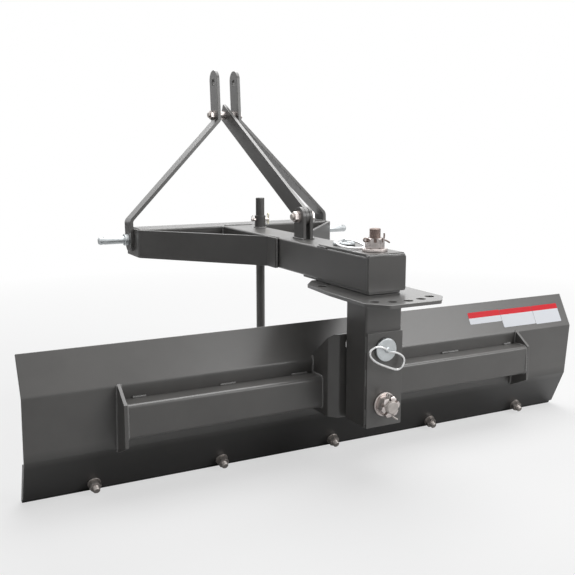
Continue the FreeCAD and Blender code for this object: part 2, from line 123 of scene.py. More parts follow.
# %% Floor
def studio_floor():
    material, tree = new_material("studio_white")
    link = tree.links.new
    out = tree.nodes.new("ShaderNodeOutputMaterial")
    matt = node(tree, "ShaderNodeBsdfDiffuse", Color=(0.74, 0.74, 0.74, 1))
    glow = node(tree, "ShaderNodeEmission", Color=(1, 1, 1, 1), Strength=1.0)
    place = tree.nodes.new("ShaderNodeTexCoord")
    reach = tree.nodes.new("ShaderNodeVectorMath")
    reach.operation = "LENGTH"
    far_off = node(tree, "ShaderNodeMapRange", From_Min=0.9, From_Max=3.0, To_Min=0.6)
    path = tree.nodes.new("ShaderNodeLightPath")
    share = tree.nodes.new("ShaderNodeMath")
    share.operation = "MULTIPLY"
    mix = tree.nodes.new("ShaderNodeMixShader")
    link(place.outputs["Object"], reach.inputs[0])
    link(reach.outputs["Value"], far_off.inputs["Value"])
    link(far_off.outputs["Result"], share.inputs[0])
    link(path.outputs["Is Camera Ray"], share.inputs[1])
    link(share.outputs[0], mix.inputs[0])
    link(matt.outputs[0], mix.inputs[1])
    link(glow.outputs[0], mix.inputs[2])
    link(mix.outputs[0], out.inputs["Surface"])
    mesh = bpy.data.meshes.new("studio_floor")
    far = 40.0
    corners = [(-far, -far, 0), (far, -far, 0), (far, far, 0), (-far, far, 0)]
    mesh.from_pydata(corners, [], [(0, 1, 2, 3)])
    floor = bpy.data.objects.new("studio_floor", mesh)
    floor.data.materials.append(material)
    bpy.context.scene.collection.objects.link(floor)
    return floor


floor = studio_floor()
print("floor", floor.name)

# %% [markdown]
# The world is white for the camera and for reflections, and much dimmer as a light, so
# that the sides fall off to dark. Three soft lamps light the blade: one above, one on
# the right on the camera's side, and one beyond the blade for the far edges.

# %% World and lamps
world = bpy.data.worlds.new("studio")
bpy.context.scene.world = world
world.use_nodes = True
tree = world.node_tree
tree.nodes.clear()
world_out = tree.nodes.new("ShaderNodeOutputWorld")
seen = node(tree, "ShaderNodeBackground", Color=(1, 1, 1, 1), Strength=1.0)
lighting = node(tree, "ShaderNodeBackground", Color=(0.95, 0.97, 1, 1), Strength=0.10)
path = tree.nodes.new("ShaderNodeLightPath")
seen_rays = tree.nodes.new("ShaderNodeMath")
seen_rays.operation = "ADD"
seen_or_clear = tree.nodes.new("ShaderNodeMath")
seen_or_clear.operation = "ADD"
seen_or_clear.use_clamp = True
mix = tree.nodes.new("ShaderNodeMixShader")
tree.links.new(path.outputs["Is Camera Ray"], seen_rays.inputs[0])
tree.links.new(path.outputs["Is Glossy Ray"], seen_rays.inputs[1])
tree.links.new(seen_rays.outputs[0], seen_or_clear.inputs[0])
tree.links.new(path.outputs["Is Transmission Ray"], seen_or_clear.inputs[1])
tree.links.new(seen_or_clear.outputs[0], mix.inputs[0])
tree.links.new(lighting.outputs[0], mix.inputs[1])
tree.links.new(seen.outputs[0], mix.inputs[2])
tree.links.new(mix.outputs[0], world_out.inputs["Surface"])


def softbox(name, place, aim, size, power):
    """A soft lamp that looks from its place towards a point."""
    lamp = bpy.data.lights.new(name, "AREA")
    lamp.shape = "RECTANGLE"
    lamp.size, lamp.size_y = size
    lamp.energy = power
    thing = bpy.data.objects.new(name, lamp)
    thing.location = place
    thing.rotation_euler = (Vector(aim) - Vector(place)).to_track_quat("-Z", "Y").to_euler()
    bpy.context.scene.collection.objects.link(thing)


softbox("lamp_above", (0.7, 0.3, 3.2), (0.1, 0, 0.3), (3.0, 3.0), 100)
softbox("lamp_right", (2.0, -2.9, 1.9), (0.1, -0.2, 0.3), (2.0, 1.8), 52)
softbox("lamp_behind", (0.5, 3.0, 2.7), (0, 0, 0.5), (3.0, 1.2), 40)

# %% [markdown]
# The blade is sprayed with a semi-gloss charcoal enamel. Close up, enamel has a fine
# orange peel, and patches that are a little duller or darker than the rest. All of it
# comes from noise on object coordinates, so it stays on the piece when it moves. On
# the blade the enamel also turns near-black below the lower crease, set by height on
# the object's Z: that is painted shade for the lower band, which faces down and back.


# %% Paint
def clouded(tree, noise, colour, less, more, top):
    """The colour, from a little darker to a little lighter as the noise rises to the top."""
    ramp = tree.nodes.new("ShaderNodeValToRGB")
    first, last = ramp.color_ramp.elements
    first.position, last.position = 0.3, top
    first.color = (*[c * less for c in colour], 1)
    last.color = (*[min(1, c * more) for c in colour], 1)
    tree.links.new(noise.outputs["Fac"], ramp.inputs["Fac"])
    return ramp.outputs["Color"]


def enamel(name, colour, dark=None, shade_below=0.0, rough=0.36, coat=0.45):
    """A sprayed enamel; given a dark colour, it turns to it below a height on the object's Z, which is
    painted shade for a face that looks down.
    """
    material, tree = new_material(name)
    link = tree.links.new
    out = tree.nodes.new("ShaderNodeOutputMaterial")
    shader = node(tree, "ShaderNodeBsdfPrincipled", Coat_Weight=coat, Coat_Roughness=0.24)
    place = tree.nodes.new("ShaderNodeTexCoord")
    patches = node(tree, "ShaderNodeTexNoise", Scale=7.0, Detail=4.0, Roughness=0.6)
    peel = node(tree, "ShaderNodeTexNoise", Scale=520.0, Detail=2.0)
    link(place.outputs["Object"], patches.inputs["Vector"])
    link(place.outputs["Object"], peel.inputs["Vector"])
    colour_out = clouded(tree, patches, colour, 0.9, 1.12, 0.72)
    # Painted shade: below that height the colour fades to the dark one.
    if dark:
        split = tree.nodes.new("ShaderNodeSeparateXYZ")
        link(place.outputs["Object"], split.inputs[0])
        fade = node(tree, "ShaderNodeMapRange", From_Min=shade_below - 0.016, From_Max=shade_below + 0.022)
        link(split.outputs["Z"], fade.inputs["Value"])
        both = tree.nodes.new("ShaderNodeMix")
        both.data_type = "RGBA"
        both.inputs["A"].default_value = (*dark, 1)
        link(fade.outputs["Result"], both.inputs["Factor"])
        link(colour_out, both.inputs["B"])
        colour_out = both.outputs["Result"]
    link(colour_out, shader.inputs["Base Color"])
    gloss = node(tree, "ShaderNodeMapRange", To_Min=rough - 0.06, To_Max=rough + 0.1)
    link(patches.outputs["Fac"], gloss.inputs["Value"])
    link(gloss.outputs["Result"], shader.inputs["Roughness"])
    bump = node(tree, "ShaderNodeBump", Strength=0.016, Distance=0.0004)
    link(peel.outputs["Fac"], bump.inputs["Height"])
    link(bump.outputs["Normal"], shader.inputs["Normal"])
    link(shader.outputs[0], out.inputs["Surface"])
    return material


CHARCOAL = (0.088, 0.085, 0.081)
CREASE = 0.107  # the blade's lower crease, in metres above the ground
charcoal = enamel("charcoal_enamel", CHARCOAL)
# The blade's enamel is near-black below the lower crease: painted shade on the band that faces down and
# back.
blade_enamel_painted_shade = enamel("charcoal_enamel_blade_painted_shade", CHARCOAL, (0.026, 0.025, 0.024), CREASE)
charcoal_plate = enamel("charcoal_enamel_plate", (0.095, 0.092, 0.088), rough=0.3, coat=1.0)
charcoal_weld = enamel("charcoal_enamel_weld", (0.16, 0.157, 0.152), rough=0.3, coat=0.8)
edge_black = enamel("edge_black", (0.022, 0.022, 0.022), rough=0.45)
print("paints", [m.name for m in bpy.data.materials if "enamel" in m.name])

# %% [markdown]
# The hardware is zinc plated. Plating is a metal with soft cloudy patches, here a
# little pink as on the real bolts. One function makes all the bare metals.


# %% Plated and bare metal
def metal(name, colour, rough, cloud=0.18):
    """A metal with cloudy plating: colour and roughness change a little from place to place."""
    material, tree = new_material(name)
    link = tree.links.new
    out = tree.nodes.new("ShaderNodeOutputMaterial")
    shader = node(tree, "ShaderNodeBsdfPrincipled", Metallic=1.0)
    place = tree.nodes.new("ShaderNodeTexCoord")
    clouds = node(tree, "ShaderNodeTexNoise", Scale=60.0, Detail=5.0, Roughness=0.65)
    link(place.outputs["Object"], clouds.inputs["Vector"])
    link(clouded(tree, clouds, colour, 1 - cloud, 1 + cloud, 0.7), shader.inputs["Base Color"])
    gloss = node(tree, "ShaderNodeMapRange", To_Min=rough - 0.08, To_Max=rough + 0.12)
    link(clouds.outputs["Fac"], gloss.inputs["Value"])
    link(gloss.outputs["Result"], shader.inputs["Roughness"])
    grain = node(tree, "ShaderNodeTexNoise", Scale=900.0, Detail=1.0)
    link(place.outputs["Object"], grain.inputs["Vector"])
    bump = node(tree, "ShaderNodeBump", Strength=0.1, Distance=0.0003)
    link(grain.outputs["Fac"], bump.inputs["Height"])
    link(bump.outputs["Normal"], shader.inputs["Normal"])
    link(shader.outputs[0], out.inputs["Surface"])
    return material


zinc = metal("zinc_plate", (0.60, 0.55, 0.53), 0.34)
clear_zinc = metal("clear_zinc", (0.54, 0.565, 0.575), 0.36, cloud=0.1)
wire_zinc = metal("wire_zinc", (0.80, 0.80, 0.80), 0.28, cloud=0.08)
yellow_zinc = metal("yellow_zinc", (0.72, 0.66, 0.42), 0.3)
dull_zinc = metal("dull_zinc", (0.42, 0.39, 0.37), 0.46)
pin_steel = metal("dark_pin_steel", (0.235, 0.185, 0.165), 0.44)
print("metals", [m.name for m in (zinc, clear_zinc, wire_zinc, yellow_zinc, dull_zinc, pin_steel)])

# %% [markdown]
# The CAD plates have knife edges, and real ones have a small round that catches the
# light. Each CAD mesh is loose triangles, so a Weld joins them and a Decimate makes
# each flat one face before a Bevel rounds the sharp edges. Weighted normals keep the
# flats flat. All four are modifiers, and the CAD mesh itself stays as it is.

# %% Paint the CAD pieces and round their edges
SHARP = math.radians(35)  # an edge that turns by more than this stays sharp or gets a bevel
PLATE_ROUND, BOLT_ROUND = 0.0013, 0.0008
finish_of = {"edge_steel": edge_black, "zinc": zinc, "paint": charcoal}
slot_of = {part["node"]: part["material_slot"] for part in frame["record"]["subparts"]}


def dress(name, material, edge):
    piece = nodes[name]
    piece.data.materials.clear()
    piece.data.materials.append(material)
    weld = piece.modifiers.new("join", "WELD")
    weld.merge_threshold = 0.00002
    flats = piece.modifiers.new("flats", "DECIMATE")
    flats.decimate_type = "DISSOLVE"
    flats.angle_limit = math.radians(1)
    bevel = piece.modifiers.new("edges", "BEVEL")
    bevel.width = edge
    bevel.segments = 2
    bevel.limit_method = "ANGLE"
    bevel.angle_limit = SHARP
    shading = piece.modifiers.new("shading", "WEIGHTED_NORMAL")
    shading.keep_sharp = True


for name in nodes:
    dress(name, finish_of[slot_of[name]], BOLT_ROUND if slot_of[name] == "zinc" else PLATE_ROUND)
nodes["moldboard"].data.materials[0] = blade_enamel_painted_shade
nodes["turntable"].data.materials[0] = charcoal_plate
print("painted", len(nodes), "CAD nodes")

# %% [markdown]
# Round things such as bolt ends and pin heads are turned: a profile of radius and
# height is spun round an axis. The same few helpers make every turned piece, each in
# millimetres along its own Z, and a placement matrix then sets it on the blade.

# %% Turned shapes
SIDES = 48
UP, TO_REAR, TO_FRONT = (0, 0, 1), (0, -1, 0), (0, 1, 0)
FLAT_SHARE = 0.475  # the radius of a nut's round end face, as a share of its width
CORNER_FALL = 0.5  # how steeply the turned-off corners of a nut fall outwards


def spin(bm, profile, sides=SIDES):
    """Spins a profile of (radius, height) pairs round Z; a radius of 0 closes to a point."""
    rings = []
    for r, h in profile:
        if r == 0:
            rings.append([bm.verts.new((0, 0, h))])
            continue
        turns = [2 * math.pi * i / sides for i in range(sides)]
        rings.append([bm.verts.new((r * math.cos(a), r * math.sin(a), h)) for a in turns])
    for low, high in zip(rings, rings[1:]):
        for i in range(sides):
            j = (i + 1) % sides
            corners = [low[i % len(low)], low[j % len(low)], high[j % len(high)], high[i % len(high)]]
            corners = list(dict.fromkeys(corners))
            if len(corners) > 2:
                bm.faces.new(corners)


def hex_radius(angle, flats):
    """How far a hexagon's side is from its middle in one direction."""
    part = (angle % (math.pi / 3)) - math.pi / 6
    return flats / 2 / math.cos(part)


def hex_body(bm, flats, height, bore=0.0, base=0.0, inner=True, outer=True):
    """A hexagon whose corners are turned off at the inner end, the outer end or both."""
    sides = 72
    turns = [2 * math.pi * i / sides for i in range(sides)]
    flat_r = flats * FLAT_SHARE
    sliver = 0.02

    def ring(pick):
        made = []
        for a in turns:
            r, h = pick(hex_radius(a, flats))
            made.append(bm.verts.new((r * math.cos(a), r * math.sin(a), h + base)))
        return made

    rings = [
        ring(lambda r: (flat_r if inner else r, 0)),
        ring(lambda r: (r, (r - flat_r) * CORNER_FALL if inner else sliver)),
        ring(lambda r: (r, height - ((r - flat_r) * CORNER_FALL if outer else sliver))),
        ring(lambda r: (flat_r if outer else r, height)),
    ]
    if bore:
        rings.append(ring(lambda r: (bore / 2, height)))
        rings.append(ring(lambda r: (bore / 2, 0)))
        rings.append(rings[0])
    for low, high in zip(rings, rings[1:]):
        for i in range(sides):
            j = (i + 1) % sides
            bm.faces.new([low[i], low[j], high[j], high[i]])
    if not bore:
        bm.faces.new(rings[0][::-1])
        bm.faces.new(rings[3])


def threaded(bm, d, low, high, pitch, point):
    """A bolt end: rings of thread and a turned-off point at the top."""
    r, groove = d / 2, pitch * 0.3
    profile = [(0, low), (r, low)]
    h = low
    while h + pitch < high - point:
        profile += [(r, h + groove), (r - groove, h + pitch * 0.65), (r, h + pitch)]
        h += pitch
    profile += [(r, high - point), (r - point, high), (0, high)]
    spin(bm, profile, 36)


def washer(bore_r, outer_r, thick, edge):
    """A washer's profile, with its outer corners turned off."""
    return [(bore_r, 0), (outer_r - edge, 0), (outer_r, edge), (outer_r, thick - edge),
            (outer_r - edge, thick), (bore_r, thick), (bore_r, 0)]


def placed(base, along, turn=0.0):
    """The matrix that sets a shape's millimetre Z on a point of the blade, along a direction."""
    tilt = Vector(along).to_track_quat("Z", "Y").to_matrix().to_4x4()
    return Matrix.Translation(at(*base)) @ tilt @ Matrix.Rotation(turn, 4, "Z") @ Matrix.Scale(0.001, 4)


print("turned shapes ready, with", SIDES, "sides")

# %% [markdown]
# A piece may need several metals, such as a dark pin in a bright nut. Each shape goes
# into the piece's mesh with its own material number, and one object comes out of it,
# at the origin, with its place in its vertices.


# %% Building up a piece from shapes
class Piece:
    """Gathers shapes in one mesh and turns them into one object that rides on a body."""

    def __init__(self, name, body, slot, *materials):
        self.name, self.body, self.slot, self.materials = name, body, slot, materials
        self.mesh = bmesh.new()

    def add(self, shape, matrix=None, material=0):
        shape.normal_update()
        for face in shape.faces:
            face.material_index = material
        if matrix is not None:
            shape.transform(matrix)
        temp = bpy.data.meshes.new("shape")
        shape.to_mesh(temp)
        shape.free()
        self.mesh.from_mesh(temp)
        bpy.data.meshes.remove(temp)

    def turned(self, profile, base, along, material=0, sides=SIDES):
        shape = bmesh.new()
        spin(shape, profile, sides)
        self.add(shape, placed(base, along), material)

    def finish(self, replaces=None):
        bmesh.ops.recalc_face_normals(self.mesh, faces=self.mesh.faces)
        mesh = bpy.data.meshes.new(self.name)
        self.mesh.to_mesh(mesh)
        self.mesh.free()
        for material in self.materials:
            mesh.materials.append(material)
        for polygon in mesh.polygons:
            polygon.use_smooth = True
        mesh.set_sharp_from_angle(angle=SHARP)
        thing = bpy.data.objects.new(self.name, mesh)
        bpy.context.scene.collection.objects.link(thing)
        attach(thing, self.body)
        if replaces:
            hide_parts(*replaces)
        print(self.name, "has", len(mesh.polygons), "faces")
        return thing


def wire(points, r, closed=False, rounding=1):
    """A round wire in metres, swept along a smooth curve led by points given in metres."""
    curve = bpy.data.curves.new("wire", "CURVE")
    curve.dimensions = "3D"
    curve.bevel_depth = r
    curve.bevel_resolution = rounding
    curve.use_fill_caps = True
    spline = curve.splines.new("NURBS")
    spline.points.add(len(points) - 1)
    for point, place in zip(spline.points, points):
        point.co = (*place, 1)
    spline.order_u = 3
    spline.use_endpoint_u = not closed
    spline.use_cyclic_u = closed
    spline.resolution_u = 8
    thing = bpy.data.objects.new("wire", curve)
    bpy.context.scene.collection.objects.link(thing)
    bpy.context.view_layer.update()
    mesh = bpy.data.meshes.new_from_object(thing.evaluated_get(bpy.context.evaluated_depsgraph_get()))
    bpy.data.objects.remove(thing)
    bpy.data.curves.remove(curve)
    shape = bmesh.new()
    shape.from_mesh(mesh)
    bpy.data.meshes.remove(mesh)
    bmesh.ops.remove_doubles(shape, verts=shape.verts, dist=1e-7)
    return shape


print("piece builder ready")

# %% [markdown]
# The kingpin is the joint's heart: a dark steel pin up through the boom, a thick
# washer, and a slotted nut with six slots for the split pin. The nut is a hexagon
# with six teeth on top, and each tooth keeps the hexagon's corner.


# %% Castle nuts and split pins
SLOT = 6.5
SPLIT_PIN_R = 1.9


def castle_nut(piece, base, along, flats, height, bore, turn):
    """A hexagon nut with six teeth on top and slots between them."""
    body = 0.6 * height
    root = body - 0.2
    shape = bmesh.new()
    hex_body(shape, flats, body, bore, outer=False)
    piece.add(shape, placed(base, along, turn))
    steps = 8
    top_r = flats * FLAT_SHARE
    for i in range(6):
        shape = bmesh.new()
        middle = math.pi / 3 * i
        rings = []
        for radius, level in (("hex", root), ("hex", "shoulder"), (top_r, height),
                              (bore / 2, height), (bore / 2, root)):
            near = flats / 2 if radius == "hex" else radius
            half = math.pi / 6 - math.asin(min(0.9, SLOT / 2 / near))
            ring = []
            for k in range(steps + 1):
                a = middle + half * (2 * k / steps - 1)
                r = hex_radius(a + 1e-9, flats) if radius == "hex" else radius
                h = height - (r - top_r) * CORNER_FALL if level == "shoulder" else level
                ring.append(shape.verts.new((r * math.cos(a), r * math.sin(a), h)))
            rings.append(ring)
        for low, high in zip(rings, rings[1:] + rings[:1]):
            for k in range(steps):
                shape.faces.new([low[k], low[k + 1], high[k + 1], high[k]])
        for k in (0, steps):
            shape.faces.new([ring[k] for ring in rings])
        piece.add(shape, placed(base, along, turn))


def split_pin(piece, eye, centre, tails, side):
    """A split pin: its eye, the run through the bolt, and two legs bent back."""
    r = SPLIT_PIN_R
    eye, centre, side = Vector(eye), Vector(centre), Vector(side)
    run = (centre - eye).normalized()
    for sign, tail in zip((1, -1), tails):
        off = side * (r * 0.9 * sign)
        points = [eye - run * 2.6 * r, eye - run * 1.6 * r + off * 2.6, eye + run * r * 1.2 + off * 1.4,
                  eye + run * 3 * r + off, centre + off]
        points += [Vector(p) for p in tail]
        # The split pin takes the piece's darker second metal: partly the wire's own dull steel, partly
        # painted shade for its shadow side.
        piece.add(wire([at(*p) for p in points], r / 1000), None, 1)


print("castle nuts and split pins ready")

# %% Kingpin set
KINGPIN_R, HEAD_R, HEAD_T, WASHER_T = 12.7, 28, 10, 6
kingpin_low, kingpin_high = box_of("kingpin")
pad_z = box_of("boom_top_plate")[1].z
washer_z = pad_z + 0.4
head_z = kingpin_low.z
kingpin = Piece("kingpin_set", "swing", "zinc", zinc, pin_steel)
kingpin.turned([(0, head_z), (HEAD_R - 1, head_z), (HEAD_R, head_z + 1), (HEAD_R, head_z + HEAD_T),
                (KINGPIN_R, head_z + HEAD_T), (KINGPIN_R, washer_z + 30)], (0, 0, 0), UP, 1)
shape = bmesh.new()
threaded(shape, 2 * KINGPIN_R, washer_z + 28, kingpin_high.z, 2.2, 1.5)
kingpin.add(shape, placed((0, 0, 0), UP), 1)
kingpin.turned(washer(KINGPIN_R + 0.1, 29, WASHER_T, 0.8), (0, 0, washer_z), UP)
castle_nut(kingpin, (0, 0, washer_z + WASHER_T), UP, 38, 24, 2 * KINGPIN_R, math.radians(29))
pin_z = washer_z + 26
split_pin(kingpin, (-24, 1.5, pin_z), (20, -1.5, pin_z),
          (((22, -2, pin_z + 1), (24, -2, pin_z + 5), (24, -1, pin_z + 13)),
           ((24, -2, pin_z - 2), (32, -2, pin_z - 5), (39, -1, pin_z - 9))), UP)
kingpin.finish(["kingpin"])

# %% [markdown]
# The tilt bolt is the second joint. Its hexagon head sits inside the bracket, and a
# washer, a slotted nut and a split pin hold it on the back of the post. It is made
# with the kingpin's helpers, so the two sets match.

# %% Tilt pivot set
PIVOT_R, PIVOT_FLATS, PIVOT_HEAD, PIVOT_WASHER = 15, 44, 16.8, 5
pivot = Piece("tilt_pivot_set", "swing", "zinc", zinc, dull_zinc)
bolt_low, bolt_high = box_of("tilt_bolt")
tilt_z = middle_of("tilt_bolt").z
back_y = box_of("post_doubler")[0].y
front_y = bolt_high.y - PIVOT_HEAD
shank = front_y - back_y + 20
pivot.turned([(0, 0), (PIVOT_R, 0), (PIVOT_R, shank), (0, shank)], (0, back_y - 20, tilt_z), TO_FRONT)
shape = bmesh.new()
hex_body(shape, PIVOT_FLATS, PIVOT_HEAD)
pivot.add(shape, placed((0, front_y, tilt_z), TO_FRONT))
shape = bmesh.new()
threaded(shape, 2 * PIVOT_R, 0, back_y - 16 - bolt_low.y, 2.4, 2.2)
pivot.add(shape, placed((0, back_y - 16, tilt_z), TO_REAR), 1)
pivot.turned(washer(PIVOT_R + 0.1, 28, PIVOT_WASHER, 1), (0, back_y, tilt_z), TO_REAR)
castle_nut(pivot, (0, back_y - PIVOT_WASHER, tilt_z), TO_REAR, PIVOT_FLATS, 24, 2 * PIVOT_R, 0.2)
pin_y = back_y - 25
split_pin(pivot, (-6, pin_y, tilt_z + 27), (2, pin_y, tilt_z - 18),
          (((4, pin_y - 1, tilt_z - 21), (12, pin_y - 3, tilt_z - 28), (18, pin_y - 4, tilt_z - 31)),
           ((0, pin_y + 1, tilt_z - 22), (-5, pin_y + 3, tilt_z - 24), (-8, pin_y + 4, tilt_z - 23))),
          (1, 0, 0))
pivot.finish(["tilt_bolt"])

# %% [markdown]
# Both lock pins are the kind with a pressed round head and a spring wire, bent like
# a letter D, that snaps over the pin's end. On this blade the wires hang loose on the
# heads. The wire is a curve through a few points and the head is turned.


# %% Lock pins with their wire loops
LOOP_R = 0.0025


def lock_head(piece, base, along, shank_d, shank_length):
    """The pressed round head, and the shank that goes back from it."""
    piece.turned([(0, 11.5), (4.5, 11.5), (6.0, 10.6), (6.5, 8.2), (17, 7.4), (23, 7.8), (26, 7.0),
                  (27, 5.4), (27, 2.2), (26, 0.7), (24, 0), (0, 0)], base, along)
    r = shank_d / 2
    piece.turned([(0, 0), (r, 0), (r, shank_length - 2), (r - 2, shank_length), (0, shank_length)],
                 base, -Vector(along))


def rivet(length):
    """The profile of the stub that holds the wire loop on the head."""
    return [(0, 0), (5.2, 0), (5.2, length - 1.2), (3.8, length), (0, length)]


tilt_lock = Piece("tilt_lock_pin_set", "swing", "zinc", clear_zinc, wire_zinc)
lock_z = middle_of("tilt_lock_pin").z
tilt_lock_front = box_of("tilt_lock_pin")[1].y
lock_head(tilt_lock, (0, back_y, lock_z), TO_REAR, 25, tilt_lock_front - back_y)
loop = [(3, -11, -2), (-7, -15, 4), (-22, -16, 11.5), (-37, -16, 13), (-48.5, -15, 6), (-50, -14, -5),
        (-41, -14, -17.5), (-24, -14, -28.5), (0, -14, -38.5), (25, -14, -48.5), (40, -14, -41),
        (44.5, -14, -26), (37, -14, -15.5), (22, -15, -7), (10, -15, -4.5), (2, -11, -6)]
points = [at(x, back_y + y, lock_z + z) for x, y, z in loop]
tilt_lock.add(wire(points, LOOP_R, rounding=2), None, 1)
tilt_lock.turned(rivet(6.2), (0, back_y - 9.5, lock_z), TO_REAR, sides=6)
tilt_lock.finish(["tilt_lock_pin"])

swing_lock = Piece("swing_lock_pin_set", "hitch_frame", "zinc", clear_zinc, wire_zinc)
lock_y = middle_of("swing_lock_pin").y
lock_head(swing_lock, (0, lock_y, pad_z), UP, 20, pad_z - box_of("swing_lock_pin")[0].z)
loop = [(1, 3, 12), (-8, -3, 13), (-24, -14, 12), (-40, -30, 11), (-47, -48, 9), (-46, -68, 6),
        (-36, -86, 4), (-18, -94, 3), (0, -90, 3.5), (10, -76, 5), (13, -54, 8), (11, -34, 11),
        (6, -16, 13), (1, -3, 12)]
points = [at(x, lock_y + y, pad_z + z) for x, y, z in loop]
swing_lock.add(wire(points, LOOP_R, rounding=2), None, 1)
swing_lock.turned(rivet(8.2), (0, lock_y, pad_z + 8), UP, sides=6)
swing_lock.finish(["swing_lock_pin"])

# %% [markdown]
# The brace and the mast are held by ordinary bolts with a hexagon head, two washers,
# a nut and a few turns of thread that stand out of it.


# %% Hexagon bolts
def hex_bolt(piece, y, z, grip, d, flats, washer_d):
    """A bolt along X over a grip of that half width, its nut on the left."""
    t, r = 2.6, d / 2
    for side in (-1, 1):
        piece.turned([(r, 0), (washer_d / 2, 0), (washer_d / 2, t), (r, t)],
                     (side * grip, y, z), (side, 0, 0))
    shape = bmesh.new()
    hex_body(shape, flats, 9, inner=False)
    piece.add(shape, placed((grip + t, y, z), (1, 0, 0), 0.25))
    shape = bmesh.new()
    hex_body(shape, flats, 12.5, d)
    piece.add(shape, placed((-grip - t, y, z), (-1, 0, 0), 0.6))
    shank = 2 * grip + t
    piece.turned([(0, 0), (r, 0), (r, shank), (0, shank)], (grip + t, y, z), (-1, 0, 0))
    shape = bmesh.new()
    threaded(shape, d, 0, 19, 1.8, 1.4)
    piece.add(shape, placed((-grip - t, y, z), (-1, 0, 0)), 1)


brace_fix = Piece("brace_bolt_set", "hitch_frame", "zinc", zinc, dull_zinc)
_, y, z = middle_of("brace_bolt")
hex_bolt(brace_fix, y, z, 15, 16, 24, 30)
brace_fix.finish(["brace_bolt"])

mast_fix = Piece("mast_bolt_set", "hitch_frame", "zinc", zinc, dull_zinc)
_, y, z = middle_of("mast_bolt")
hex_bolt(mast_fix, y, z, 38.25, 16, 24, 27)
for side in (-1, 1):
    mast_fix.turned([(8.5, 4.75), (12, 4.75), (12.5, 5.3), (12.5, 28.2), (12, 28.75), (8.5, 28.75),
                     (8.5, 4.75)], (0, y, z), (side, 0, 0))
mast_fix.finish(["mast_bolt"])

# %% [markdown]
# The lower hitch pins have a cross hole near the tip for a linch pin. The pin is
# turned first. A Boolean with a thin rod then drills it, and only the result is kept.


# %% Hitch pins
def drilled(thing, rods):
    """Cuts the rods out of the piece and keeps the result as its mesh."""
    cutter_mesh = bpy.data.meshes.new("drill")
    rods.to_mesh(cutter_mesh)
    rods.free()
    cutter = bpy.data.objects.new("drill", cutter_mesh)
    bpy.context.scene.collection.objects.link(cutter)
    cut = thing.modifiers.new("drill", "BOOLEAN")
    cut.operation = "DIFFERENCE"
    cut.use_self = True
    cut.object = cutter
    bpy.context.view_layer.update()
    mesh = bpy.data.meshes.new_from_object(thing.evaluated_get(bpy.context.evaluated_depsgraph_get()))
    thing.modifiers.clear()
    thing.data = mesh
    bpy.data.objects.remove(cutter)
    bpy.data.meshes.remove(cutter_mesh)
    thing.data.set_sharp_from_angle(angle=SHARP)


def hitch_pin(side, name, replaced):
    low, high = box_of(replaced)
    middle = (low + high) / 2
    inner = min(abs(low.x), abs(high.x))
    tip = max(abs(low.x), abs(high.x)) - inner
    nut, collar, shoulder, r = 18.0, 37.0, tip - 75.5, 11.1
    piece = Piece(name, "hitch_frame", "zinc", clear_zinc)
    base = (side * inner, middle.y, middle.z)
    shape = bmesh.new()
    hex_body(shape, 34, nut)
    piece.add(shape, placed(base, (side, 0, 0)))
    piece.turned([(0, 4), (r, 4), (r, collar), (16, collar), (17, collar + 1), (17, shoulder - 1),
                  (16, shoulder), (r, shoulder), (r, tip - 4), (9.6, tip - 1.2), (7.6, tip), (0, tip)],
                 base, (side, 0, 0))
    thing = piece.finish([replaced])
    rods = bmesh.new()
    hole_r, reach, from_tip = 5.2, 20, 13
    spin(rods, [(0, -reach), (hole_r, -reach), (hole_r, reach), (0, reach)], 24)
    rods.transform(placed((side * (inner + tip - from_tip), middle.y, middle.z), UP))
    bmesh.ops.recalc_face_normals(rods, faces=rods.faces)
    drilled(thing, rods)


for side, word in ((1, "right"), (-1, "left")):
    hitch_pin(side, "hitch_pin_set_" + word, "hitch_pin_" + word)
print("hitch pins drilled")

# %% [markdown]
# The parking stand hangs on a cross pin through the top of its sleeve. The pin has a
# small wire ring on the left and a yellow hairpin on the right. It is two stubs that
# end in the sleeve's wall, so that the stand can slide past them when it is posed.

# %% Stand pin
STUB_R = 4.75
stand = middle_of("stand_sleeve")
sleeve_high = box_of("stand_sleeve")[1]
sleeve_r = sleeve_high.x - stand.x
stand_pin_z = sleeve_high.z - 12
stub_in, stub_out = sleeve_r - 2, sleeve_r + 12
stand_pin = Piece("stand_pin_set", "hitch_frame", "zinc", zinc, yellow_zinc)
for side in (-1, 1):
    stand_pin.turned([(0, stub_in), (STUB_R, stub_in), (STUB_R, stub_out - 1), (4, stub_out),
                      (0, stub_out)], (stand.x, stand.y, stand_pin_z), (side, 0, 0), sides=24)
left_x, right_x = stand.x - sleeve_r - 8, stand.x + sleeve_r + 8
turns = [i * math.pi / 6 for i in range(12)]
ring = [at(left_x, stand.y + math.cos(a) * 7, stand_pin_z + (math.sin(a) * 7 + 5)) for a in turns]
stand_pin.add(wire(ring, 0.0011, closed=True))
clip = [(0, 3, -12), (0.5, 3, -4), (1, 2.6, 6), (1.5, 4, 13), (2, 1, 18), (2.4, -4, 16), (2.2, -4.6, 10),
        (1.8, -2.6, 4), (1.2, -4.4, -2), (0.6, -3.4, -9), (0.3, -5.4, -13)]
points = [at(right_x + x, stand.y + y, stand_pin_z + z) for x, y, z in clip]
stand_pin.add(wire(points, 0.0012), None, 1)
stand_pin.finish()

# %% [markdown]
# Weld beads repeat, so Geometry Nodes makes them. The input is a mesh of plain lines
# along the seams, where each point says how big its bead is. The tree sets a ripple
# every few millimetres, a squashed ball turned along the seam, over a thin core. The
# result is kept as one mesh for each body, and the modifier goes.


# %% The weld tree
def sockets(tree, out_name, **inputs):
    """Gives a tree its named inputs and its one geometry output."""
    for name, kind in inputs.items():
        tree.interface.new_socket(name, in_out="INPUT", socket_type="NodeSocket" + kind)
    tree.interface.new_socket(out_name, in_out="OUTPUT", socket_type="NodeSocketGeometry")


